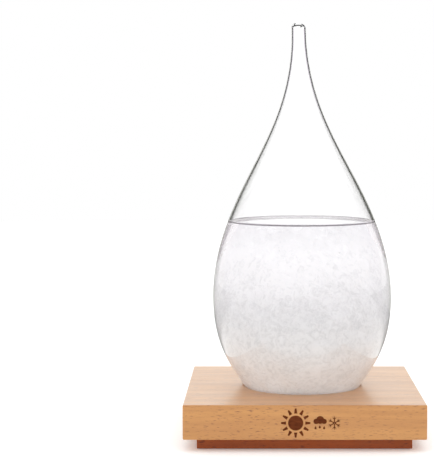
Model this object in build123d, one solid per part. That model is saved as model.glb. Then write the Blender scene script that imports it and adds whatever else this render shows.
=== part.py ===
from build123d import *
from math import cos, radians, sin, tan
import os

# Storm glass: a sealed glass drop holding a camphor solution and its crystals,
# standing in a shallow seat on a beech board with a darker plinth beneath.
# +Z is up, -Y is the front, and the origin is the centre of the underside of the pads.
# All sizes are in millimetres.

os.makedirs("parts", exist_ok=True)

# ---- wooden base ----
board_width = 148.0
board_thickness = 21.3
board_edge_round = 0.8
plinth_inset = 8.2
plinth_height = 7.0
plinth_edge_round = 0.4

# ---- seat in the board that locates the drop ----
seat_depth = 2.0
seat_clearance = 0.4
seat_rim_chamfer = 0.3

# ---- pads under the plinth ----
pad_radius = 7.0
pad_thickness = 1.5
pad_projection = 0.5
pad_pocket_clearance = 0.1
pad_corner_distance = 15.0

# ---- countersunk screws holding the plinth to the board ----
screw_radius = 2.0
screw_core_radius = 1.55
screw_length = 18.0
screw_head_radius = 4.0
screw_head_height = 2.3
screw_head_rim = 0.4
screw_sink = 0.4
screw_pitch = 1.8
screw_recess_width = 0.9
screw_recess_span = 4.4
screw_recess_depth = 1.3
screw_corner_distance = 34.0
screw_plinth_clearance = 0.25

# ---- glass drop ----
glass_height = 236.4
belly_radius = 57.7
neck_radius = 4.6
wall = 1.4
neck_wall = 0.85
thinning_start = 0.35
thinning_end = 0.95
foot_edge_round = 6.0
foot_edge_angle = 54.0
foot_thickness = 1.4
foot_inner_round = 5.5
tip_dome = 3.4
bore_dome = 1.4

# ---- solution and crystals ----
fill_fraction = 0.459
film_gap = 0.05
crystal_wall_gap = 0.5
bed_edge_fraction = 0.19
bed_crown = 9.0
bed_wave = 1.6
plume_gap = 0.3
plume_surface_gap = 0.8
plume_foot_fraction = 0.93
plume_top_fraction = 0.475
plume_taper = 0.85
plume_rim_drop = 4.0
plume_billows = 5
plume_billow_depth = 1.4
flake_count = 18
flake_radius = 2.1
flake_thickness = 0.6

# ---- heights that follow from the sizes above ----
plinth_bottom = pad_projection
board_bottom = plinth_bottom + plinth_height
board_top = board_bottom + board_thickness
foot_z = board_top - seat_depth
fill_height = fill_fraction * glass_height
golden_angle = 137.50776


# Stations up the outside of the drop: share of the belly radius, share of the height.
# The first follows from the round at the foot and the last is the top of the neck,
# where the sealed tip begins.
foot_radius = 0.662 * belly_radius
foot_station = (foot_radius, foot_edge_round * (1 - cos(radians(foot_edge_angle))))
body_stations = [
    (0.913 * belly_radius, 0.120 * glass_height),
    (1.000 * belly_radius, 0.248 * glass_height),
    (0.889 * belly_radius, 0.417 * glass_height),
    (0.660 * belly_radius, 0.550 * glass_height),
    (0.425 * belly_radius, 0.661 * glass_height),
    (0.226 * belly_radius, 0.772 * glass_height),
    (1.420 * neck_radius, 0.878 * glass_height),
    (1.050 * neck_radius, 0.942 * glass_height),
    (neck_radius, glass_height - tip_dome),
]


def outer_curve():
    """The side of the drop from the end of the foot round to the top of the neck."""
    angle = radians(foot_edge_angle)
    return Spline(
        foot_station,
        *body_stations,
        tangents=[(cos(angle), sin(angle)), (0, 1)],
    )


def wall_at(height):
    """Wall thickness at a height: the drawn glass thins from the belly up into the neck."""
    share = (height / glass_height - thinning_start) / (thinning_end - thinning_start)
    share = min(1, max(0, share))
    return wall - (wall - neck_wall) * share**2 * (3 - 2 * share)


def drop_outline(insets, floor, floor_round, top_dome):
    """Closed half outline of the drop, moved in at each station, with its floor at height floor.

    The first inset is for the end of the foot round, the others for the body stations.
    """
    side = outer_curve()
    stations = []
    for (radius, height), inset in zip(body_stations, insets[1:]):
        direction = side.tangent_at(side.param_at_point(Vector(radius, height, 0)))
        stations.append((radius - inset * direction.Y, height + inset * direction.X))
    angle = radians(foot_edge_angle)
    wall_radius = foot_station[0] - insets[0] * sin(angle)
    wall_height = foot_station[1] + insets[0] * cos(angle)
    start_height = floor + floor_round * (1 - cos(angle))
    start_radius = wall_radius + (start_height - wall_height) / tan(angle)
    floor_radius = start_radius - floor_round * sin(angle)
    middle_radius = floor_radius + floor_round * sin(angle / 2)
    middle_height = floor + floor_round * (1 - cos(angle / 2))
    top_radius, top_height = stations[-1]
    lines = [
        Line((0, floor), (floor_radius, floor)),
        ThreePointArc(
            (floor_radius, floor),
            (middle_radius, middle_height),
            (start_radius, start_height),
        ),
        Spline(
            (start_radius, start_height),
            *stations,
            tangents=[(cos(angle), sin(angle)), (0, 1)],
        ),
        Spline(
            (top_radius, top_height),
            (0, top_height + top_dome),
            tangents=[(0, 1), (-1, 0)],
        ),
        Line((0, top_height + top_dome), (0, floor)),
    ]
    return make_face(lines)


def turned(face):
    """Stand a half outline upright and turn it about the vertical axis."""
    return revolve(Plane.XZ * face, Axis.Z, 360)


def drop_solid(insets, floor, floor_round, top_dome):
    return turned(drop_outline(insets, floor, floor_round, top_dome))


def cavity(gap):
    """The inside of the drop, moved in from the inner wall by gap."""
    stations = [foot_station] + body_stations
    return drop_solid(
        [wall_at(height) + gap for radius, height in stations],
        foot_thickness + gap,
        foot_inner_round - gap,
        bore_dome - gap,
    )


def below(height):
    """A block that reaches from under the drop up to height."""
    side = 4 * belly_radius
    block = Box(side, side, height + side, align=(Align.CENTER, Align.CENTER, Align.MAX))
    return Pos(0, 0, height) * block


def square_corners(distance_from_edge, width):
    """The four points on the diagonals, this far in from both edges of a square."""
    reach = width / 2 - distance_from_edge
    return [(x, y) for x in (-reach, reach) for y in (-reach, reach)]


# ---- glass vessel ----
def make_glass():
    no_insets = [0] * (1 + len(body_stations))
    outside = drop_solid(no_insets, 0, foot_edge_round, tip_dome)
    return outside - cavity(0)


# ---- crystals settled on the bottom ----
def mound(lift, crown):
    """Everything under a gently waved mound: low at the wall, higher in the middle."""
    edge = bed_edge_fraction * glass_height + lift
    reach = belly_radius + 5
    crest = [
        (0, edge + crown),
        (0.25 * reach, edge + 0.86 * crown + bed_wave),
        (0.50 * reach, edge + 0.55 * crown - bed_wave),
        (0.75 * reach, edge + 0.28 * crown + bed_wave),
        (reach, edge),
    ]
    lines = [
        Spline(*crest, tangents=[(1, 0), (1, 0)]),
        Line((reach, edge), (reach, -5)),
        Line((reach, -5), (0, -5)),
        Line((0, -5), (0, edge + crown)),
    ]
    return turned(make_face(lines))


def make_bed():
    return cavity(crystal_wall_gap) & mound(0, bed_crown)


# ---- looser crystals above them ----
def plume_side(height):
    """Radius of the plume's smooth core at a height, narrowing towards the surface."""
    low = bed_edge_fraction * glass_height
    share = min(1, max(0, (height - low) / (fill_height - low)))
    narrowing = (plume_foot_fraction - plume_top_fraction) * share**plume_taper
    return belly_radius * (plume_foot_fraction - narrowing)


def make_plume():
    """A cloud with a billowing side that stands on the mound and reaches the surface."""
    low = 0.6 * bed_edge_fraction * glass_height
    top = fill_height - plume_surface_gap
    shoulder = top - plume_rim_drop
    rise = (shoulder - low) / (2 * plume_billows)
    side = []
    for step in range(2 * plume_billows + 1):
        height = low + rise * step
        billow = plume_billow_depth if step % 2 else 0
        side.append((plume_side(height) + billow, height))
    rim = side[-1][0]
    lines = [
        Line((0, low), side[0]),
        Spline(*side),
        ThreePointArc(
            (rim, shoulder),
            (rim - 0.3 * plume_rim_drop, shoulder + 0.7 * plume_rim_drop),
            (rim - plume_rim_drop, top),
        ),
        Line((rim - plume_rim_drop, top), (0, top)),
        Line((0, top), (0, low)),
    ]
    plume = turned(make_face(lines)) & cavity(crystal_wall_gap)
    return plume - mound(plume_gap, bed_crown)


# ---- separate flakes drifting in the clear liquid around the plume ----
def make_flakes():
    """Thin six-sided plates, each turned on from the last by the golden angle."""
    flakes = []
    for i in range(flake_count):
        height = fill_height * (0.80 + 0.145 * ((i * 0.618) % 1))
        size = flake_radius * (0.75 + 0.5 * ((i * 0.37) % 1))
        reach = plume_side(height) + 2 * plume_billow_depth + 1.2 * size
        plate = extrude(RegularPolygon(size, 6), flake_thickness)
        tilt = Rot(25 + 40 * sin(i), 35 * cos(1.7 * i), 20 * i)
        flakes.append(Rot(0, 0, i * golden_angle) * Pos(reach, 0, height) * tilt * plate)
    return Compound(flakes)


# ---- solution: fills the drop to its level around all the crystals ----
def make_liquid(solids):
    liquid = cavity(film_gap) & below(fill_height)
    for solid in solids:
        liquid -= solid
    return liquid


# ---- wooden board with its seat and the pilot holes for the screws ----
def seat_radius():
    """Radius of the drop at the board's top, plus the clearance around it."""
    angle = radians(foot_edge_angle)
    rise = max(0, seat_depth - foot_station[1])
    return foot_radius + rise / tan(angle) + seat_clearance


def make_board():
    board = Pos(0, 0, board_bottom) * Box(
        board_width,
        board_width,
        board_thickness,
        align=(Align.CENTER, Align.CENTER, Align.MIN),
    )
    board = fillet(board.edges(), board_edge_round)
    seat = Cylinder(seat_radius(), seat_depth, align=(Align.CENTER, Align.CENTER, Align.MAX))
    board -= Pos(0, 0, board_top) * seat
    circles = board.edges().filter_by(GeomType.CIRCLE)
    rim = circles.filter_by(lambda edge: edge.radius > seat_radius() - 0.01)
    return chamfer(rim.sort_by(Axis.Z)[-1], seat_rim_chamfer)


def plinth_width():
    return board_width - 2 * plinth_inset


def make_plinth():
    plinth = Pos(0, 0, plinth_bottom) * Box(
        plinth_width(),
        plinth_width(),
        plinth_height,
        align=(Align.CENTER, Align.CENTER, Align.MIN),
    )
    sides = plinth.edges().filter_by(Axis.Z) + plinth.edges().group_by(Axis.Z)[0]
    return fillet(sides, plinth_edge_round)


# ---- screws ----
def screw_outline(growth, threaded):
    """Half outline of a screw standing on its head, with its shank grown by growth."""
    head = screw_head_radius
    shank = screw_radius + growth
    cone_slope = (screw_head_height - screw_head_rim) / (head - screw_radius)
    cone_end = screw_head_height - growth * cone_slope
    points = [(0, 0), (head, 0), (head, screw_head_rim), (shank, cone_end)]
    thread_start = plinth_height - screw_sink
    thread_end = screw_length - 2.5
    points.append((shank, thread_start))
    if threaded:
        turns = int((thread_end - thread_start) / screw_pitch)
        for turn in range(turns):
            base = thread_start + turn * screw_pitch
            points.append((screw_core_radius, base + 0.35 * screw_pitch))
            points.append((screw_core_radius, base + 0.55 * screw_pitch))
            points.append((shank, base + screw_pitch))
    else:
        points.append((shank, thread_end))
    points.append((0, screw_length))
    return make_face(Polyline(*points, close=True))


def make_screws():
    depth = screw_recess_depth
    slot = Box(
        screw_recess_span,
        screw_recess_width,
        depth,
        align=(Align.CENTER, Align.CENTER, Align.MIN),
    )
    screw = turned(screw_outline(0, True)) - slot - Rot(0, 0, 90) * slot
    bottom = plinth_bottom + screw_sink
    places = square_corners(screw_corner_distance, plinth_width())
    turns = [12, 71, 38, 55]
    return [Pos(x, y, bottom) * Rot(0, 0, t) * screw for (x, y), t in zip(places, turns)]


def screw_holes(growth):
    """Space for the screws: countersunk, open at the plinth's underside."""
    hole = turned(screw_outline(growth, False))
    hole += Cylinder(
        screw_head_radius,
        screw_sink + 1,
        align=(Align.CENTER, Align.CENTER, Align.MAX),
    )
    bottom = plinth_bottom + screw_sink
    places = square_corners(screw_corner_distance, plinth_width())
    return [Pos(x, y, bottom) * hole for x, y in places]


# ---- pads ----
def make_pads(radius):
    pad = Cylinder(radius, pad_thickness, align=(Align.CENTER, Align.CENTER, Align.MIN))
    places = square_corners(pad_corner_distance, plinth_width())
    return [Pos(x, y, 0) * pad for x, y in places]


board = make_board() - screw_holes(0)
plinth = make_plinth() - screw_holes(screw_plinth_clearance)
plinth -= make_pads(pad_radius + pad_pocket_clearance)
screws = Compound(make_screws())
pads = Compound(make_pads(pad_radius))

stand = Pos(0, 0, foot_z)
glass = make_glass()
bed = make_bed()
plume = make_plume()
flakes = make_flakes()
liquid = make_liquid([bed, plume, flakes])

export_step(board, "parts/base_board.step")
export_step(plinth, "parts/plinth.step")
export_step(screws, "parts/plinth_screws.step")
export_step(pads, "parts/antislip_pads.step")
export_step(stand * glass, "parts/glass_vessel.step")
export_step(stand * liquid, "parts/storm_liquid.step")
export_step(stand * bed, "parts/crystal_bed.step")
export_step(stand * plume, "parts/crystal_plume.step")
export_step(stand * flakes, "parts/loose_crystals.step")
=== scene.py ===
import math
import random

import bpy
import numpy as np
from mathutils import Matrix, Vector, noise


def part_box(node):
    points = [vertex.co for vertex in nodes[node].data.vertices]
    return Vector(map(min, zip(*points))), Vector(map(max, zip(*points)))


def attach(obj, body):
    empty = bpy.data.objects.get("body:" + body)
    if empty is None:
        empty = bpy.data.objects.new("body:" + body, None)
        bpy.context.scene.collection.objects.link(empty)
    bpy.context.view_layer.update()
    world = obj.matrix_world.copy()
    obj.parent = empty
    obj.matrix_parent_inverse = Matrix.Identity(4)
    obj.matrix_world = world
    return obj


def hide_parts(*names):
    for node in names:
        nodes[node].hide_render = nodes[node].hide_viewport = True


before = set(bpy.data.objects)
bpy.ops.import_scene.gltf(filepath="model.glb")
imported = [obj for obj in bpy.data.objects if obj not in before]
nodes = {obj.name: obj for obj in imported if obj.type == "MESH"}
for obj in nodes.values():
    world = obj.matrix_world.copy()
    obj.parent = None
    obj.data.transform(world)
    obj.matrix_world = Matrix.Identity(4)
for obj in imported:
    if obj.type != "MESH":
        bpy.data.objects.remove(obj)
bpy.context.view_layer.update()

MM = 0.001
QUARTER = math.pi / 2
GOLDEN_TURN = math.pi * (3 - math.sqrt(5))

# ---------------------------------------------------------------- sizes from the frame
board_low, board_high = (Vector(corner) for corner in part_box("base_board"))
glass_low, glass_high = (Vector(corner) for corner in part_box("glass_vessel"))
liquid_high = Vector(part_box("storm_liquid")[1])
plume_high = Vector(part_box("crystal_plume")[1])
BOARD_WIDTH = board_high.x - board_low.x
BOARD_TOP = board_high.z
FOOT_Z = glass_low.z
GLASS_HEIGHT = glass_high.z - glass_low.z
BELLY = (glass_high.x - glass_low.x) / 2
LEVEL = liquid_high.z - FOOT_Z
CRYSTAL_TOP = plume_high.z - FOOT_Z
BED_EDGE = 0.19 * GLASS_HEIGHT


# ---------------------------------------------------------------- mesh helpers
def new_object(name, verts, faces, smooth=True):
    mesh = bpy.data.meshes.new(name)
    mesh.from_pydata([tuple(v) for v in verts], [], faces)
    mesh.validate()
    mesh.update()
    if smooth:
        mesh.polygons.foreach_set("use_smooth", [True] * len(mesh.polygons))
    obj = bpy.data.objects.new(name, mesh)
    bpy.context.scene.collection.objects.link(obj)
    return obj


def turned_mesh(profile, steps, inward=False):
    """Vertices and faces of a half outline turned about Z; its first and last points are on the axis."""
    verts = [(0, 0, profile[0][1])]
    rings = profile[1:-1]
    for radius, height in rings:
        for i in range(steps):
            a = 2 * math.pi * i / steps
            verts.append((radius * math.cos(a), radius * math.sin(a), height))
    top = len(verts)
    verts.append((0, 0, profile[-1][1]))
    faces = []
    for i in range(steps):
        j = (i + 1) % steps
        faces.append((0, 1 + j, 1 + i))
        for k in range(len(rings) - 1):
            a = 1 + k * steps
            b = a + steps
            faces.append((a + i, a + j, b + j, b + i))
        last = 1 + (len(rings) - 1) * steps
        faces.append((top, last + i, last + j))
    if inward:
        faces = [tuple(reversed(face)) for face in faces]
    return verts, faces


def ring_mesh(section, steps):
    """Closed ring from a small section of (radius, height) points in order."""
    verts = []
    faces = []
    count = len(section)
    for i in range(steps):
        a = 2 * math.pi * i / steps
        for radius, height in section:
            verts.append((radius * math.cos(a), radius * math.sin(a), height))
    for i in range(steps):
        j = (i + 1) % steps
        for k in range(count):
            m = (k + 1) % count
            faces.append((i * count + k, j * count + k, j * count + m, i * count + m))
    return verts, faces


def clamped_spline(points, start, end, count):
    """Smooth curve through points with these end directions, as count points."""
    p = np.array(points, float)
    t = np.concatenate([[0], np.cumsum(np.linalg.norm(np.diff(p, axis=0), axis=1))])
    h = np.diff(t)
    n = len(p)
    equations = np.zeros((n, n))
    right = np.zeros((n, 2))
    equations[0, 0] = 1
    equations[-1, -1] = 1
    right[0] = np.array(start) / np.linalg.norm(start)
    right[-1] = np.array(end) / np.linalg.norm(end)
    for i in range(1, n - 1):
        equations[i, i - 1] = h[i]
        equations[i, i] = 2 * (h[i] + h[i - 1])
        equations[i, i + 1] = h[i - 1]
        rise_before = (p[i] - p[i - 1]) / h[i - 1]
        rise_after = (p[i + 1] - p[i]) / h[i]
        right[i] = 3 * (h[i] * rise_before + h[i - 1] * rise_after)
    slope = np.linalg.solve(equations, right)
    out = []
    for s in np.linspace(0, t[-1], count):
        i = min(max(int(np.searchsorted(t, s, side="right")) - 1, 0), n - 2)
        u = (s - t[i]) / h[i]
        out.append(
            (2 * u**3 - 3 * u**2 + 1) * p[i]
            + (u**3 - 2 * u**2 + u) * h[i] * slope[i]
            + (3 * u**2 - 2 * u**3) * p[i + 1]
            + (u**3 - u**2) * h[i] * slope[i + 1]
        )
    return [(float(x), float(y)) for x, y in out]


def arc(centre, radius, start, end, count):
    out = []
    for i in range(count):
        a = start + (end - start) * i / (count - 1)
        out.append((centre[0] + radius * math.cos(a), centre[1] + radius * math.sin(a)))
    return out


def circle(radius, count):
    turns = [2 * math.pi * k / count for k in range(count)]
    return [(radius * math.cos(a), radius * math.sin(a)) for a in turns]


def smoothstep(low, high, value):
    u = min(1, max(0, (value - low) / (high - low)))
    return u * u * (3 - 2 * u)


# ---------------------------------------------------------------- the glass
WALL = 1.4 * MM
NECK_WALL = 0.85 * MM
THINNING_START = 0.35
THINNING_END = 0.95
NECK = 4.6 * MM
TIP_DOME = 3.4 * MM
TIP_BLUNTNESS = 0.8
BORE_DOME = 1.4 * MM
FOOT_ROUND = 6.0 * MM
FOOT_ANGLE = math.radians(54)
FLOOR_THICKNESS = 1.4 * MM
FLOOR_ROUND = 5.5 * MM
NECK_LEAN = 2.6 * MM
LEAN_POWER = 2.2
LEAN_BACK = 0.25
TIP_SLANT = 0.10
TIP_SINK = 0.3 * MM
GLASS_STEPS = 144
SIDE_POINTS = 240
ROUND_POINTS = 12
TIP_STEPS = 14
BORE_STEPS = 8

FOOT_STATION = (0.662 * BELLY, FOOT_ROUND * (1 - math.cos(FOOT_ANGLE)))
STATIONS = [
    FOOT_STATION,
    (0.913 * BELLY, 0.120 * GLASS_HEIGHT),
    (1.000 * BELLY, 0.248 * GLASS_HEIGHT),
    (0.889 * BELLY, 0.417 * GLASS_HEIGHT),
    (0.660 * BELLY, 0.550 * GLASS_HEIGHT),
    (0.425 * BELLY, 0.661 * GLASS_HEIGHT),
    (0.226 * BELLY, 0.772 * GLASS_HEIGHT),
    (1.420 * NECK, 0.878 * GLASS_HEIGHT),
    (1.050 * NECK, 0.942 * GLASS_HEIGHT),
    (NECK, GLASS_HEIGHT - TIP_DOME),
]
SIDE = clamped_spline(STATIONS, (math.cos(FOOT_ANGLE), math.sin(FOOT_ANGLE)), (0, 1), SIDE_POINTS)


def wall_at(height):
    """The glass thins from the belly up into the neck."""
    return WALL + (NECK_WALL - WALL) * smoothstep(THINNING_START, THINNING_END, height / GLASS_HEIGHT)


def moved_in(curve, extra=0.0):
    """The outline moved inwards by the wall thickness there plus extra."""
    out = []
    for i, (x, y) in enumerate(curve):
        inset = wall_at(y) + extra
        x0, y0 = curve[max(i - 1, 0)]
        x1, y1 = curve[min(i + 1, len(curve) - 1)]
        long = math.hypot(x1 - x0, y1 - y0)
        out.append((x - inset * (y1 - y0) / long, y + inset * (x1 - x0) / long))
    return out


INNER_SIDE = moved_in(SIDE)


def inner_radius(height, extra=0.0):
    """Radius of the inner wall at a height above the foot, less extra."""
    radii, heights = zip(*INNER_SIDE)
    return float(np.interp(height, heights, radii)) - extra


def lean(verts):
    """Gives the neck a small lean, slants the sealed tip and lifts everything to the foot's height."""
    out = []
    for x, y, z in verts:
        up = z / GLASS_HEIGHT
        shift = -NECK_LEAN * up**LEAN_POWER
        tilt = smoothstep(0.955, 1.0, up)
        sunk = z - TIP_SLANT * x * tilt - TIP_SINK * tilt
        out.append((x + shift, y + LEAN_BACK * shift * smoothstep(0.6, 1.0, up), sunk + FOOT_Z))
    return out


def rounded_corner(middle, floor, radius):
    """Arc from a flat floor up to the slope of the foot."""
    return arc((middle, floor + radius), radius, -QUARTER, FOOT_ANGLE - QUARTER, ROUND_POINTS)


def outside_profile():
    """Half outline of the glass: flat foot, side and rounded tip."""
    middle = FOOT_STATION[0] - FOOT_ROUND * math.sin(FOOT_ANGLE)
    out = [(0, 0), (0.5 * middle, 0)]
    out += rounded_corner(middle, 0, FOOT_ROUND)
    out += SIDE[1:]
    neck_top = GLASS_HEIGHT - TIP_DOME
    for i in range(1, TIP_STEPS):
        a = QUARTER * i / TIP_STEPS
        out.append((NECK * math.cos(a) ** TIP_BLUNTNESS, neck_top + TIP_DOME * math.sin(a)))
    out.append((0, GLASS_HEIGHT))
    return out


def inside_profile(inset, top_height):
    """Half outline of the hollow, from its floor up the wall to top_height."""
    floor = FLOOR_THICKNESS + inset
    start = FLOOR_ROUND * (1 - math.cos(FOOT_ANGLE)) + floor
    side = [p for p in moved_in(SIDE, inset) if p[1] > start]
    corner = side[0][0] - (side[0][1] - start) / math.tan(FOOT_ANGLE)
    middle = corner - FLOOR_ROUND * math.sin(FOOT_ANGLE)
    out = [(0, floor), (0.5 * middle, floor)]
    out += rounded_corner(middle, floor, FLOOR_ROUND)
    out += [p for p in side if p[1] < top_height]
    return out


def hollow_profile():
    """Half outline of the sealed inside, with the bore's rounded end."""
    out = inside_profile(0, GLASS_HEIGHT)
    bore, bore_end = out[-1]
    for i in range(1, BORE_STEPS):
        a = QUARTER * i / BORE_STEPS
        out.append((bore * math.cos(a), bore_end + BORE_DOME * math.sin(a)))
    out.append((0, bore_end + BORE_DOME))
    return out


def glass_drop():
    verts_out, faces_out = turned_mesh(outside_profile(), GLASS_STEPS)
    verts_in, faces_in = turned_mesh(hollow_profile(), GLASS_STEPS, inward=True)
    offset = len(verts_out)
    faces = faces_out + [tuple(i + offset for i in face) for face in faces_in]
    return new_object("glass_drop", lean(verts_out + verts_in), faces)


# ---------------------------------------------------------------- the solution
MENISCUS_RISE = 1.3 * MM
MENISCUS_LENGTH = 1.5 * MM
MENISCUS_REACH = 14 * MM
MENISCUS_STEPS = 24
SURFACE = LEVEL - 0.1 * MM
OVERLAP = 0.12 * MM
EDGE_TOP = LEVEL + 0.45 * MM
EDGE_LOW = LEVEL - 0.45 * MM
EDGE_OUTER_GAP = 0.06 * MM
EDGE_INNER_GAP = 0.16 * MM


def solution():
    """Reaches a little into the wall, so that it looks wet against it, and climbs it as a meniscus."""
    profile = inside_profile(-OVERLAP, LEVEL + 0.9 * MENISCUS_RISE)
    edge_radius = profile[-1][0]
    for i in range(1, MENISCUS_STEPS + 1):
        gap = MENISCUS_REACH * (i / MENISCUS_STEPS) ** 2
        rise = MENISCUS_RISE * math.exp(-gap / MENISCUS_LENGTH)
        profile.append((edge_radius - gap, SURFACE + rise))
    profile.append((0.4 * edge_radius, SURFACE))
    profile.append((0, SURFACE))
    verts, faces = turned_mesh(profile, GLASS_STEPS)
    return new_object("solution", lean(verts), faces)


def painted_waterline_ring():
    """Painted shade: a thin dark opaque ring at the waterline against the glass, in place of the dark
    line the meniscus bends into view there.
    """
    section = [
        (inner_radius(EDGE_LOW, EDGE_OUTER_GAP), EDGE_LOW),
        (inner_radius(EDGE_TOP, EDGE_OUTER_GAP), EDGE_TOP),
        (inner_radius(EDGE_TOP, EDGE_INNER_GAP), EDGE_TOP),
        (inner_radius(EDGE_LOW, EDGE_INNER_GAP), EDGE_LOW),
    ]
    verts, faces = ring_mesh(section, GLASS_STEPS)
    return new_object("waterline_shade_ring", lean(verts), faces, smooth=False)


# ---------------------------------------------------------------- the crystals
CLOUD_GAP = 0.9 * MM
CLOUD_WIDTH_LOW = 0.94
CLOUD_NARROWING = 0.465
CLOUD_CURVE = 1.05
CLOUD_SOFTNESS = 2.0 * MM
CLOUD_SHOULDER = 2.5 * MM
CLOUD_CROWN = 2.2 * MM
CLOUD_TOP = CRYSTAL_TOP - 0.3 * MM
BED_GAP = 0.25 * MM
BED_BLEND = 14 * MM
BED_RISE = 9 * MM
BED_WAVE = 1.5 * MM
BED_WAVE_TURN = 9
BED_COVER = 12 * MM
ROUGH_GAP = 0.3 * MM
STILL_RADIUS = 8 * MM
ON_AXIS = 1e-6
NEEDLE_GAP = 0.25 * MM
NEEDLE_DEPTH = 0.8 * MM
NEEDLE_SINK = (0.2, 1.4)
NEEDLE_PITCH = (math.radians(35), math.radians(45))
NEEDLE_OUTWARD = (-0.25, 0.45)
NEEDLE_LENGTHS = (0.4, 1.25)
NEEDLE_WIDTHS = (0.6, 1.3)
FLAKE_SIZES = (0.7, 1.7)
FLAKE_LOW = 0.80
FLAKE_SPAN = 0.16
GOLDEN_SHARE = 0.618
FLAKE_HALF = 0.08 * MM
FLAKE_CORNERS = 12


def crystal_side(height):
    """Radius of the crystal mass: it fills the bottom and narrows to the surface."""
    wall = inner_radius(height, CLOUD_GAP)
    share = min(1, max(0, (height - BED_EDGE) / (LEVEL - BED_EDGE)))
    core = BELLY * (CLOUD_WIDTH_LOW - CLOUD_NARROWING * share**CLOUD_CURVE)
    near_both = math.exp(-wall / CLOUD_SOFTNESS) + math.exp(-core / CLOUD_SOFTNESS)
    return -CLOUD_SOFTNESS * math.log(near_both)


def crystal_noise(point, seed):
    """Broad, lumpy and fine unevenness at a place, which is scaled from metres to millimetres."""
    p = Vector(point) * 1000
    broad = noise.noise(p * 0.055 + Vector((seed, 0, 0)))
    lumps = noise.noise(p * 0.16 + Vector((0, seed, 3)))
    fine = noise.noise(p * 0.5 + Vector((3, 5, seed)))
    return broad, lumps, fine


def rough_turned(name, profile, steps, depth, seed):
    """A turned shape with an uneven surface that stays inside the glass."""
    verts, faces = turned_mesh(profile, steps)
    out = []
    for x, y, z in verts:
        broad, lumps, fine = crystal_noise((x, y, z), seed)
        radius = math.hypot(x, y)
        push = depth * (0.7 * broad + 0.55 * lumps + 0.3 * fine - 0.75)
        limit = inner_radius(min(max(z, FLOOR_THICKNESS + 4 * MM), LEVEL), ROUGH_GAP)
        scale = 1.0
        if radius >= STILL_RADIUS:
            scale = min(radius + push, limit) / radius
        lift = 0.0
        if radius > ON_AXIS:
            lift = 0.4 * depth * lumps
        out.append((x * scale, y * scale, z + lift))
    return new_object(name, lean(out), faces)


def bed_profile():
    """Fills the bottom of the drop and ends in a low wavy heap."""
    out = []
    for radius, height in inside_profile(BED_GAP, BED_EDGE):
        blend = smoothstep(BED_EDGE - BED_BLEND, BED_EDGE, height)
        out.append((radius + (crystal_side(height) - ROUGH_GAP - radius) * blend, height))
    edge = out[-1][0]
    for i in range(1, 20):
        u = i / 20
        out.append((edge * (1 - u), BED_EDGE + BED_RISE * u + BED_WAVE * math.sin(BED_WAVE_TURN * u)))
    out.append((0, BED_EDGE + BED_RISE))
    return out


def plume_profile():
    """Rises from inside the bed to a flat top just under the surface."""
    base = BED_EDGE - BED_COVER
    shoulder = CRYSTAL_TOP - CLOUD_SHOULDER
    side_points = 90
    out = [(0, base), (0.5 * crystal_side(base), base)]
    for i in range(side_points):
        height = base + (shoulder - base) * i / (side_points - 1)
        out.append((crystal_side(height), height))
    rim = crystal_side(shoulder)
    for i in range(1, 6):
        a = QUARTER * i / 5
        out.append((rim - CLOUD_SHOULDER * (1 - math.cos(a)), shoulder + CLOUD_CROWN * math.sin(a)))
    for i in range(1, 24):
        out.append(((rim - CLOUD_SHOULDER) * (1 - i / 24), CLOUD_TOP))
    out.append((0, CLOUD_TOP))
    return out


def needles(name, count, low, high, length, width, seed):
    """Many slender pointed crystals lying at all angles on the side of the mass."""
    rng = random.Random(seed)
    verts = []
    faces = []
    for _ in range(count):
        height = low + (high - low) * rng.random()
        turn = 2 * math.pi * rng.random()
        radius = crystal_side(height) - rng.uniform(*NEEDLE_SINK) * MM
        out = Vector((math.cos(turn), math.sin(turn), 0))
        side = Vector((-math.sin(turn), math.cos(turn), 0))
        up = Vector((0, 0, 1))
        angle = rng.gauss(*NEEDLE_PITCH)
        if rng.random() < 0.5:
            angle = math.pi - angle
        along = side * math.cos(angle) + up * math.sin(angle)
        along = (along + out * rng.uniform(*NEEDLE_OUTWARD)).normalized()
        across = along.cross(out).normalized()
        reach = length * rng.uniform(*NEEDLE_LENGTHS)
        half = width * rng.uniform(*NEEDLE_WIDTHS)
        centre = out * radius + up * height
        corners = [
            centre - along * reach / 2,
            centre + across * half,
            centre + out * half * 0.7,
            centre - across * half,
            centre + along * reach / 2,
        ]
        lowest = min(c.z for c in corners)
        highest = max(c.z for c in corners)
        limit_low = inner_radius(max(lowest, FLOOR_THICKNESS + 5 * MM), NEEDLE_GAP)
        limit_high = inner_radius(min(highest, LEVEL), NEEDLE_GAP)
        too_wide = max(math.hypot(c.x, c.y) for c in corners) > min(limit_low, limit_high)
        if too_wide or highest > LEVEL - NEEDLE_DEPTH:
            continue
        n = len(verts)
        verts += corners
        faces += [
            (n, n + 1, n + 2),
            (n, n + 2, n + 3),
            (n, n + 3, n + 1),
            (n + 4, n + 2, n + 1),
            (n + 4, n + 3, n + 2),
            (n + 4, n + 1, n + 3),
        ]
    return new_object(name, lean(verts), faces, smooth=False)


def star_outline(size):
    """Six long corners and six short ones between them."""
    out = []
    for k in range(FLAKE_CORNERS):
        a = math.pi * k / 6
        r = size if k % 2 == 0 else 0.3 * size
        out.append((r * math.cos(a), r * math.sin(a)))
    return out


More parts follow.
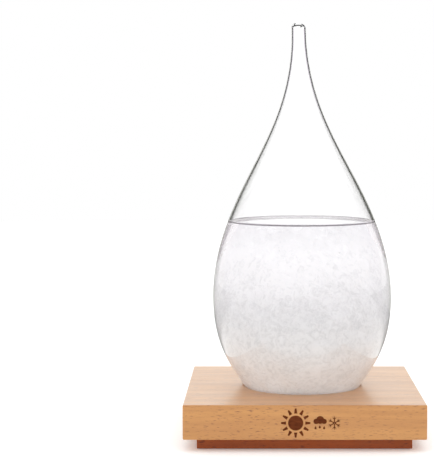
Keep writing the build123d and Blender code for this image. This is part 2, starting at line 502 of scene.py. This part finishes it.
def star_flakes(name, count, seed):
    """Flat six-armed flakes drifting in the clear liquid beside the cloud."""
    rng = random.Random(seed)
    verts = []
    faces = []
    for i in range(count):
        height = LEVEL * (FLAKE_LOW + FLAKE_SPAN * ((i * GOLDEN_SHARE) % 1))
        size = rng.uniform(*FLAKE_SIZES) * MM
        low_side = crystal_side(height) + 1.2 * size
        high_side = inner_radius(height, 1.6 * size)
        radius = low_side + (high_side - low_side) * rng.random() ** 2
        place = Matrix.Rotation(GOLDEN_TURN * i, 4, "Z") @ Matrix.Translation((radius, 0, height))
        spin = rng.uniform(0, 6.28)
        place = place @ Matrix.Rotation(spin, 4, (rng.random(), rng.random(), rng.random()))
        n = len(verts)
        for z in (-FLAKE_HALF, FLAKE_HALF):
            verts += [place @ Vector((x, y, z)) for x, y in star_outline(size)]
        far = n + FLAKE_CORNERS
        faces.append(tuple(n + k for k in reversed(range(FLAKE_CORNERS))))
        faces.append(tuple(far + k for k in range(FLAKE_CORNERS)))
        for k in range(FLAKE_CORNERS):
            m = (k + 1) % FLAKE_CORNERS
            faces.append((n + k, n + m, far + m, far + k))
    return new_object(name, lean(verts), faces, smooth=False)


# ---------------------------------------------------------------- burnt weather signs
SIGN_PROUD = 0.03 * MM
SIGN_DEPTH = 0.25 * MM
# the outlines are drawn in plain millimetres
SUN_RADIUS = 4.6
SUN_RAYS = 12
SUN_RAY_START = 5.8
SUN_RAY_END = 8.9
SHOWER_DROPS = (-2.6, 0.0, 2.6)
FROST_SIZE = 4.0
FROST_TWIGS_AT = 0.58 * FROST_SIZE
FROST_TWIG = 0.38 * FROST_SIZE


def flat_sign(name, outlines, centre_x, centre_z):
    """Thin shapes let into the front of the board; outlines are in millimetres."""
    front = board_low.y
    verts = []
    faces = []
    for outline in outlines:
        n = len(verts)
        count = len(outline)
        for depth in (-SIGN_PROUD, SIGN_DEPTH):
            for x, z in outline:
                verts.append((centre_x + x * MM, front + depth, centre_z + z * MM))
        faces.append(tuple(n + k for k in range(count)))
        faces.append(tuple(n + count + k for k in reversed(range(count))))
        for k in range(count):
            m = (k + 1) % count
            faces.append((n + m, n + k, n + count + k, n + count + m))
    return new_object(name, verts, faces, smooth=False)


def moved(outline, x, z):
    return [(a + x, b + z) for a, b in outline]


def ray(angle, start, end, half):
    """A bar from start to end that narrows outwards."""
    c = math.cos(angle)
    s = math.sin(angle)
    corners = [(start, -half), (end, -half * 0.5), (end, half * 0.5), (start, half)]
    return [(x * c - z * s, x * s + z * c) for x, z in corners]


def sun():
    turns = [2 * math.pi * k / SUN_RAYS for k in range(SUN_RAYS)]
    return [circle(SUN_RADIUS, 32)] + [ray(turn, SUN_RAY_START, SUN_RAY_END, 1.0) for turn in turns]


def cloud():
    """One closed outline round three puffs and a flat bottom."""
    puffs = [(-2.2, 0.0, 1.7), (0.2, 0.9, 2.4), (2.6, 0.0, 1.6)]
    bottom = -1.5
    out = []
    for k in range(96):
        a = 2 * math.pi * k / 96
        dx = math.cos(a)
        dz = math.sin(a)
        far = 0
        for x, z, r in puffs:
            along = x * dx + z * dz
            miss = x * x + z * z - along * along
            if miss < r * r:
                far = max(far, along + math.sqrt(r * r - miss))
        out.append((far * dx, max(far * dz, bottom)))
    return out


def bead(scale):
    """A round drop with a pointed top."""
    out = [(0.0, 2.1 * scale)]
    for k in range(21):
        a = math.radians(30 - 240 * k / 20)
        out.append((1.1 * scale * math.cos(a), 1.1 * scale * math.sin(a)))
    return out


def shower():
    """A cloud above three drops, the middle one highest."""
    drops = [moved(bead(0.62), x, -2.6 - 0.5 * abs(x) / 2.6) for x in SHOWER_DROPS]
    return [moved(cloud(), 0.0, 1.0)] + drops


def frost():
    """Six arms with short twigs."""
    out = []
    for k in range(6):
        turn = math.pi / 3 * k + QUARTER
        out.append(ray(turn, 0.25, FROST_SIZE, 0.36))
        for spread in (-0.8, 0.8):
            twig = ray(turn + spread, 0.0, FROST_TWIG, 0.28)
            out.append(moved(twig, FROST_TWIGS_AT * math.cos(turn), FROST_TWIGS_AT * math.sin(turn)))
    return out


def weather_signs():
    """Three signs in a row, a little right of the middle of the board's front."""
    x = (board_low.x + board_high.x) / 2 + 3.6 * MM
    z = (board_low.z + board_high.z) / 2 - 0.2 * MM
    return [
        flat_sign("burnt_sun", sun(), x - 9.2 * MM, z),
        flat_sign("burnt_shower", shower(), x + 5.4 * MM, z),
        flat_sign("burnt_frost", frost(), x + 14.2 * MM, z),
    ]


# ---------------------------------------------------------------- shader helpers
def material(name):
    mat = bpy.data.materials.new(name)
    mat.use_nodes = True
    nt = mat.node_tree
    return mat, nt, nt.nodes["Principled BSDF"]


def set_inputs(shader, **values):
    """Uniform values; an underscore stands for the space in a socket's name."""
    for key, value in values.items():
        shader.inputs[key.replace("_", " ")].default_value = value


def grey(value):
    return (value, value, value)


def opaque(colour):
    return (*colour, 1)


def mapped(nt, scale=(1, 1, 1), location=(0, 0, 0)):
    """Object coordinates, scaled and shifted."""
    coords = nt.nodes.new("ShaderNodeTexCoord")
    mapping = nt.nodes.new("ShaderNodeMapping")
    set_inputs(mapping, Scale=scale, Location=location)
    nt.links.new(coords.outputs["Object"], mapping.inputs["Vector"])
    return mapping.outputs["Vector"]


def axes(nt, vector):
    """The X, Y and Z sockets of a vector."""
    split = nt.nodes.new("ShaderNodeSeparateXYZ")
    nt.links.new(vector, split.inputs["Vector"])
    return split.outputs["X"], split.outputs["Y"], split.outputs["Z"]


def ramp(nt, source, stops):
    node = nt.nodes.new("ShaderNodeValToRGB")
    elements = node.color_ramp.elements
    while len(elements) < len(stops):
        elements.new(0.5)
    for element, (position, colour) in zip(elements, stops):
        element.position = position
        element.color = opaque(colour)
    nt.links.new(source, node.inputs["Fac"])
    return node.outputs["Color"]


def noise_value(nt, vector, scale, detail, rough, distortion=0.0):
    node = nt.nodes.new("ShaderNodeTexNoise")
    set_inputs(node, Scale=scale, Detail=detail, Roughness=rough, Distortion=distortion)
    nt.links.new(vector, node.inputs["Vector"])
    return node.outputs["Fac"]


def mix_colour(nt, factor, a, b, mode="MIX"):
    node = nt.nodes.new("ShaderNodeMix")
    node.data_type = "RGBA"
    node.blend_type = mode
    sockets = {s.identifier: s for s in node.inputs}
    for key, value in (("Factor_Float", factor), ("A_Color", a), ("B_Color", b)):
        if isinstance(value, bpy.types.NodeSocket):
            nt.links.new(value, sockets[key])
        elif key == "Factor_Float":
            sockets[key].default_value = value
        else:
            sockets[key].default_value = opaque(value)
    return next(s for s in node.outputs if s.identifier == "Result_Color")


def math_node(nt, operation, *values):
    node = nt.nodes.new("ShaderNodeMath")
    node.operation = operation
    for socket, value in zip(node.inputs, values):
        if isinstance(value, bpy.types.NodeSocket):
            nt.links.new(value, socket)
        else:
            socket.default_value = value
    return node.outputs["Value"]


def times(nt, first, *others):
    """The product of sockets and values."""
    out = first
    for value in others:
        out = math_node(nt, "MULTIPLY", out, value)
    return out


def plus(nt, first, second):
    return math_node(nt, "ADD", first, second)


def minus(nt, first, second):
    return math_node(nt, "SUBTRACT", first, second)


def bump(nt, bsdf, height, distance, strength):
    node = nt.nodes.new("ShaderNodeBump")
    set_inputs(node, Strength=strength, Distance=distance)
    nt.links.new(height, node.inputs["Height"])
    nt.links.new(node.outputs["Normal"], bsdf.inputs["Normal"])


# ---------------------------------------------------------------- materials
def growth_rings(nt, warp):
    """Waves, 0 to 1, round a far pith that runs along the board; the rate is in radians per metre."""
    rate = 1900.0
    _, across, up = axes(nt, mapped(nt, (0.05, 1, 1), (0, 0.012, 0.105)))
    radius = math_node(nt, "SQRT", plus(nt, times(nt, across, across), times(nt, up, up)))
    bent = plus(nt, radius, times(nt, warp, 0.016))
    waves = math_node(nt, "SINE", times(nt, bent, rate))
    return times(nt, plus(nt, waves, 1.0), 0.5)


def wood(name, pale, deep, fleck, seed, gloss, coat):
    """Beech: long faint streaks, growth rings and short dark flecks in patches."""
    mat, nt, bsdf = material(name)
    streaks = noise_value(nt, mapped(nt, (9, 150, 150), (seed, 0, 0)), 1.0, 5.0, 0.6)
    warp = noise_value(nt, mapped(nt, (6, 22, 22), (0, seed, 0)), 1.0, 2.0, 0.5)
    tone = plus(nt, times(nt, streaks, 0.85), times(nt, growth_rings(nt, warp), 0.07))
    colour = ramp(nt, tone, [(0.28, deep), (0.62, pale)])
    dashes = noise_value(nt, mapped(nt, (260, 1500, 1500), (0, 0, seed)), 1.0, 2.0, 0.5)
    dash_mask = ramp(nt, dashes, [(0.57, grey(0)), (0.68, grey(1))])
    patches = noise_value(nt, mapped(nt, (26, 60, 60), (seed, 2, 0)), 1.0, 2.0, 0.5)
    patch_mask = ramp(nt, patches, [(0.36, grey(0.3)), (0.60, grey(1.0))])
    dash_mask = mix_colour(nt, 1.0, dash_mask, patch_mask, "MULTIPLY")
    nt.links.new(mix_colour(nt, dash_mask, colour, fleck), bsdf.inputs["Base Color"])
    wear = noise_value(nt, mapped(nt, (30, 90, 90), (0, 0, seed)), 1.0, 4.0, 0.6)
    rough = ramp(nt, wear, [(0.3, grey(gloss)), (0.7, grey(gloss + 0.14))])
    nt.links.new(rough, bsdf.inputs["Roughness"])
    fine = noise_value(nt, mapped(nt, (120, 2200, 2200), (0, seed, 0)), 1.0, 3.0, 0.6)
    bump(nt, bsdf, minus(nt, fine, times(nt, dashes, 0.6)), 0.00012, 0.35)
    set_inputs(bsdf, Coat_Weight=coat, Coat_Roughness=0.3)
    return mat


def crystal(name, top, bottom, seed):
    """Packed white needles: mottled, with painted shade that makes them greyer towards the bottom, and a
    painted glow (emission) that lights them from inside, most at the bottom.
    """
    mat, nt, bsdf = material(name)
    _, _, up = axes(nt, nt.nodes.new("ShaderNodeTexCoord").outputs["Object"])
    share = math_node(nt, "DIVIDE", minus(nt, up, FOOT_Z), LEVEL)
    drift = noise_value(nt, mapped(nt, location=(seed, 0, 0)), 45.0, 3.0, 0.6)
    share = plus(nt, share, times(nt, minus(nt, drift, 0.5), 0.35))
    # painted shade: the colour runs from the bottom grey up to the top white, so the lower crystals look
    # shaded
    colour = ramp(nt, share, [(0.0, bottom), (0.3, bottom), (0.72, top), (1.0, top)])
    feather = noise_value(nt, mapped(nt, location=(0, seed, 0)), 230.0, 6.0, 0.7, 1.4)
    shade = ramp(nt, feather, [(0.38, grey(0.86)), (0.56, grey(1.0))])
    nt.links.new(mix_colour(nt, 1.0, colour, shade, "MULTIPLY"), bsdf.inputs["Base Color"])
    # painted light: the crystals glow by emission, most at the bottom and near the top, in a faint blue
    # that offsets the board's warm light
    painted_glow_levels = [(0.0, 0.20), (0.15, 0.10), (0.35, 0.015), (0.55, 0.03), (0.9, 0.12)]
    glow = ramp(nt, share, [(position, grey(strength)) for position, strength in painted_glow_levels])
    nt.links.new(glow, bsdf.inputs["Emission Strength"])
    set_inputs(bsdf, Roughness=0.85, Emission_Color=(0.90, 0.97, 1.0, 1))
    grain = noise_value(nt, mapped(nt, location=(0, 0, seed)), 900.0, 5.0, 0.7)
    bump(nt, bsdf, grain, 0.0004, 0.6)
    return mat


def clear_glass():
    """The specular tint weakens the board's mirror image on the belly."""
    mat, _, bsdf = material("clear_glass")
    set_inputs(bsdf, Base_Color=opaque(grey(1)), Roughness=0.0, IOR=1.47)
    set_inputs(bsdf, Specular_Tint=opaque(grey(0.3)), Transmission_Weight=1.0)
    return mat


def clear_solution():
    """Faintly lilac in depth; almost no mirror image where it meets the glass."""
    mat, nt, bsdf = material("clear_solution")
    set_inputs(bsdf, Base_Color=opaque(grey(1)), Roughness=0.0, IOR=1.36)
    set_inputs(bsdf, Specular_Tint=opaque(grey(0.06)), Transmission_Weight=1.0)
    absorb = nt.nodes.new("ShaderNodeVolumeAbsorption")
    set_inputs(absorb, Color=(0.60, 0.54, 0.60, 1), Density=9.0)
    nt.links.new(absorb.outputs["Volume"], nt.nodes["Material Output"].inputs["Volume"])
    return mat


# painted shade: the dark grey of the line at the waterline
def painted_waterline_shade():
    mat, _, bsdf = material("painted_waterline_shade")
    set_inputs(bsdf, Base_Color=(0.33, 0.30, 0.33, 1), Roughness=0.6)
    return mat


def burnt_wood():
    mat, nt, bsdf = material("burnt_wood")
    char = noise_value(nt, mapped(nt, (300, 900, 900)), 1.0, 3.0, 0.6)
    colour = ramp(nt, char, [(0.3, (0.085, 0.018, 0.004)), (0.7, (0.15, 0.036, 0.009))])
    nt.links.new(colour, bsdf.inputs["Base Color"])
    set_inputs(bsdf, Roughness=0.8, Specular_IOR_Level=0.12)
    return mat


def zinc_steel():
    mat, nt, bsdf = material("zinc_steel")
    scratch = noise_value(nt, mapped(nt), 1400.0, 4.0, 0.6)
    colour = ramp(nt, scratch, [(0.3, (0.50, 0.50, 0.50)), (0.7, (0.66, 0.65, 0.62))])
    nt.links.new(colour, bsdf.inputs["Base Color"])
    nt.links.new(ramp(nt, scratch, [(0.3, grey(0.28)), (0.7, grey(0.45))]), bsdf.inputs["Roughness"])
    set_inputs(bsdf, Metallic=1.0)
    return mat


def felted_rubber():
    mat, nt, bsdf = material("felted_rubber")
    pile = noise_value(nt, mapped(nt), 2600.0, 4.0, 0.7)
    nt.links.new(ramp(nt, pile, [(0.3, grey(0.012)), (0.7, grey(0.035))]), bsdf.inputs["Base Color"])
    set_inputs(bsdf, Roughness=0.9)
    bump(nt, bsdf, pile, 0.0003, 0.5)
    return mat


def give(obj, mat):
    obj.data.materials.clear()
    obj.data.materials.append(mat)


# ---------------------------------------------------------------- build, materials and bodies
glass = glass_drop()
liquid = solution()
# a ring of painted shade at the waterline
waterline_shade_ring = painted_waterline_ring()
bed = rough_turned("settled_crystals", bed_profile(), 200, 0.8 * MM, 2.0)
plume = rough_turned("crystal_cloud", plume_profile(), 240, 1.1 * MM, 9.0)
upper_needles = needles("upper_needles", 5200, 0.30 * LEVEL, LEVEL, 4.2 * MM, 0.22 * MM, 11)
lower_needles = needles("lower_needles", 3200, 0.10 * LEVEL, 0.55 * LEVEL, 3.0 * MM, 0.2 * MM, 12)
flakes = star_flakes("drifting_flakes", 34, 5)
signs = weather_signs()

beech = wood(
    "oiled_beech",
    pale=(0.57, 0.260, 0.058),
    deep=(0.445, 0.178, 0.034),
    fleck=(0.25, 0.075, 0.012),
    seed=1.3,
    gloss=0.38,
    coat=0.9,
)
# the plinth's beech is darker and redder than the board's, with no coat
plinth_beech = wood(
    "dark_beech",
    pale=(0.36, 0.076, 0.006),
    deep=(0.26, 0.050, 0.004),
    fleck=(0.14, 0.02, 0.002),
    seed=4.1,
    gloss=0.6,
    coat=0.0,
)
# the second grey of each is the painted shade at the bottom of the crystal mass
snow = crystal("snow_crystals", grey(0.985), grey(0.87), 3.0)
needle_white = crystal("needle_crystals", grey(0.99), grey(0.91), 8.0)
burnt = burnt_wood()

give(nodes["base_board"], beech)
give(nodes["plinth"], plinth_beech)
give(nodes["plinth_screws"], zinc_steel())
give(nodes["antislip_pads"], felted_rubber())
give(glass, clear_glass())
give(liquid, clear_solution())
give(waterline_shade_ring, painted_waterline_shade())
give(bed, snow)
give(plume, snow)
give(upper_needles, needle_white)
give(lower_needles, needle_white)
give(flakes, needle_white)
for sign in signs:
    give(sign, burnt)

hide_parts("glass_vessel")
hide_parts("storm_liquid")
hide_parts("crystal_bed")
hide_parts("crystal_plume")
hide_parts("loose_crystals")
for piece, name in (
    (glass, "glass"),
    (liquid, "solution"),
    (waterline_shade_ring, "solution"),
    (bed, "settled_crystals"),
    (plume, "loose_crystals"),
    (upper_needles, "loose_crystals"),
    (lower_needles, "settled_crystals"),
    (flakes, "loose_crystals"),
):
    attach(piece, "glass_drop")
for sign in signs:
    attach(sign, "base")

# ---------------------------------------------------------------- stage and light
FLOOR_RADIUS = 2.2
FLOOR_SIDES = 64
FLOOR_WHITE = 0.93
# limits for how many faces a ray has passed or met: none, an edge's few, an empty drop's four
NOT_YET = 0.5
EDGE_FACES = 3.5
EMPTY_DROP_FACES = 4.5
DARK = grey(0.0)
WHITE = grey(1.0)
LILAC = (0.62, 0.57, 0.64)
scene = bpy.context.scene


def off_lines(nt, x, y, wave):
    """How far a bearing lies from the axes (SINE) or from the diagonals (COSINE), 0 to 1."""
    bearing = math_node(nt, "ARCTAN2", y, x)
    return math_node(nt, "ABSOLUTE", math_node(nt, wave, times(nt, bearing, 2.0)))


def below(nt, value, limit):
    return math_node(nt, "LESS_THAN", value, limit)


def mirrored_rays(nt, path, ahead):
    """1 for rays that the outside of the glass mirrors on past the drop, seen from the front."""
    no_scatter = below(nt, path.outputs["Diffuse Depth"], NOT_YET)
    outside = below(nt, path.outputs["Transmission Depth"], NOT_YET)
    return times(nt, path.outputs["Is Singular Ray"], no_scatter, outside, ahead)


def white_floor():
    """White, but darker where only rays bent or mirrored by the glass can see it.

    Rays bent by the empty glass see it dark beside its diagonals, which draws the glass in views
    from above; mirrored rays see it dark behind the drop, which gives the belly a thin rim."""
    mat, nt, bsdf = material("white_floor")
    place = nt.nodes.new("ShaderNodeTexCoord").outputs["Object"]
    x, y, _ = axes(nt, place)
    lanes = ramp(nt, off_lines(nt, x, y, "COSINE"), [(0.42, WHITE), (0.58, DARK)])
    distance = nt.nodes.new("ShaderNodeVectorMath")
    distance.operation = "LENGTH"
    nt.links.new(place, distance.inputs[0])
    reach = times(nt, distance.outputs["Value"], 0.4)
    near = ramp(nt, reach, [(0.08, DARK), (0.10, WHITE), (0.80, WHITE), (0.84, DARK)])
    path = nt.nodes.new("ShaderNodeLightPath")
    no_scatter = below(nt, path.outputs["Diffuse Depth"], NOT_YET)
    no_liquid = below(nt, path.outputs["Transmission Depth"], EMPTY_DROP_FACES)
    bent = times(nt, path.outputs["Is Transmission Ray"], near, no_scatter, no_liquid)
    behind = ramp(nt, y, [(0.12, DARK), (0.2, WHITE)])
    shade = mix_colour(nt, bent, WHITE, lanes)
    shade = mix_colour(nt, mirrored_rays(nt, path, behind), shade, DARK)
    nt.links.new(mix_colour(nt, 1.0, shade, grey(FLOOR_WHITE), "MULTIPLY"), bsdf.inputs["Base Color"])
    nt.links.new(shade, bsdf.inputs["Emission Color"])
    set_inputs(bsdf, Roughness=0.9, Emission_Strength=0.16)
    return mat


def studio_floor():
    edge = [(x, y, 0) for x, y in circle(FLOOR_RADIUS, FLOOR_SIDES)]
    floor = new_object("studio_floor", edge, [tuple(range(FLOOR_SIDES))], smooth=False)
    give(floor, white_floor())
    return floor


def studio_colours(nt, direction, path):
    """The colours that bent and mirrored rays see, and a mask of those rays.

    They see white along the axes and dark between them, which draws the outline of the glass. Rays
    that crossed the inside of the drop see lilac instead of the dark."""
    x, y, z = direction
    off_axis = off_lines(nt, x, y, "SINE")
    edges = ramp(nt, off_axis, [(0.40, WHITE), (0.53, DARK), (1.0, DARK)])
    wedges = ramp(nt, off_axis, [(0.40, WHITE), (0.60, LILAC), (1.0, LILAC)])
    rim = ramp(nt, off_axis, [(0.03, WHITE), (0.10, DARK), (1.0, DARK)])
    height = math_node(nt, "ABSOLUTE", z)
    upper = ramp(nt, height, [(0.50, DARK), (0.66, WHITE)])
    top = ramp(nt, height, [(0.72, WHITE), (0.80, DARK)])
    edges = mix_colour(nt, upper, edges, top)
    wedges = mix_colour(nt, upper, wedges, WHITE)
    rim = mix_colour(nt, upper, rim, top)
    through = math_node(nt, "GREATER_THAN", path.outputs["Transmission Depth"], EDGE_FACES)
    no_scatter = below(nt, path.outputs["Diffuse Depth"], NOT_YET)
    bent = times(nt, path.outputs["Is Transmission Ray"], no_scatter)
    mirrored = mirrored_rays(nt, path, ramp(nt, y, [(0.74, DARK), (0.84, WHITE)]))
    pattern = mix_colour(nt, through, edges, wedges)
    pattern = mix_colour(nt, mirrored, pattern, rim)
    return pattern, math_node(nt, "MAXIMUM", bent, mirrored)


def studio_world():
    """Soft white light, brighter overhead; the camera itself sees plain white."""
    world = bpy.data.worlds.new("studio")
    world.use_nodes = True
    nt = world.node_tree
    nt.nodes.clear()
    direction = axes(nt, nt.nodes.new("ShaderNodeTexCoord").outputs["Generated"])
    path = nt.nodes.new("ShaderNodeLightPath")
    pattern, sharp = studio_colours(nt, direction, path)
    zenith = ramp(nt, direction[2], [(0.40, DARK), (0.95, WHITE)])
    strength = plus(nt, plus(nt, 1.0, times(nt, zenith, 0.38)), times(nt, sharp, 0.12))
    studio = nt.nodes.new("ShaderNodeBackground")
    nt.links.new(mix_colour(nt, sharp, WHITE, pattern), studio.inputs["Color"])
    nt.links.new(strength, studio.inputs["Strength"])
    plain = nt.nodes.new("ShaderNodeBackground")
    set_inputs(plain, Color=opaque(WHITE), Strength=1.0)
    choose = nt.nodes.new("ShaderNodeMixShader")
    nt.links.new(path.outputs["Is Camera Ray"], choose.inputs["Fac"])
    nt.links.new(studio.outputs["Background"], choose.inputs[1])
    nt.links.new(plain.outputs["Background"], choose.inputs[2])
    output = nt.nodes.new("ShaderNodeOutputWorld")
    nt.links.new(choose.outputs["Shader"], output.inputs["Surface"])
    return world


def back_glow():
    """Weak light from behind and above, for the pale sheen on the back of the board."""
    data = bpy.data.lights.new("back_glow", "AREA")
    data.shape = "RECTANGLE"
    data.size = 0.9
    data.size_y = 0.25
    data.energy = 0.20
    data.color = (0.97, 1.0, 0.84)
    glow = bpy.data.objects.new("back_glow", data)
    glow.location = (0, board_high.y + 0.16, BOARD_TOP + 0.13)
    glow.rotation_euler = (math.radians(-80), 0, 0)
    glow.visible_camera = False
    glow.visible_transmission = False
    scene.collection.objects.link(glow)


def photo_camera():
    """Placed in board widths from the middle of the board's top."""
    dip = math.radians(4.035)
    turn = math.radians(0.055)
    data = bpy.data.cameras.new("photo_camera")
    data.lens = 114.74
    data.sensor_width = 36.0
    data.shift_x = -0.1
    data.clip_start = 0.01
    camera = bpy.data.objects.new("photo_camera", data)
    scene.collection.objects.link(camera)
    camera.location = (-0.163 * BOARD_WIDTH, -6.492 * BOARD_WIDTH, BOARD_TOP + 1.127 * BOARD_WIDTH)
    camera.rotation_euler = (QUARTER - dip, 0, turn)
    return camera


studio_floor()
scene.world = studio_world()
back_glow()
scene.camera = photo_camera()

# without the glossy filter, which would dim the light that reaches the crystals through the glass
scene.cycles.blur_glossy = 0.0
scene.cycles.caustics_reflective = True
scene.cycles.max_bounces = 32
scene.cycles.transmission_bounces = 32
scene.cycles.glossy_bounces = 16
scene.cycles.diffuse_bounces = 16
scene.view_settings.view_transform = "Standard"
scene.view_settings.look = "None"
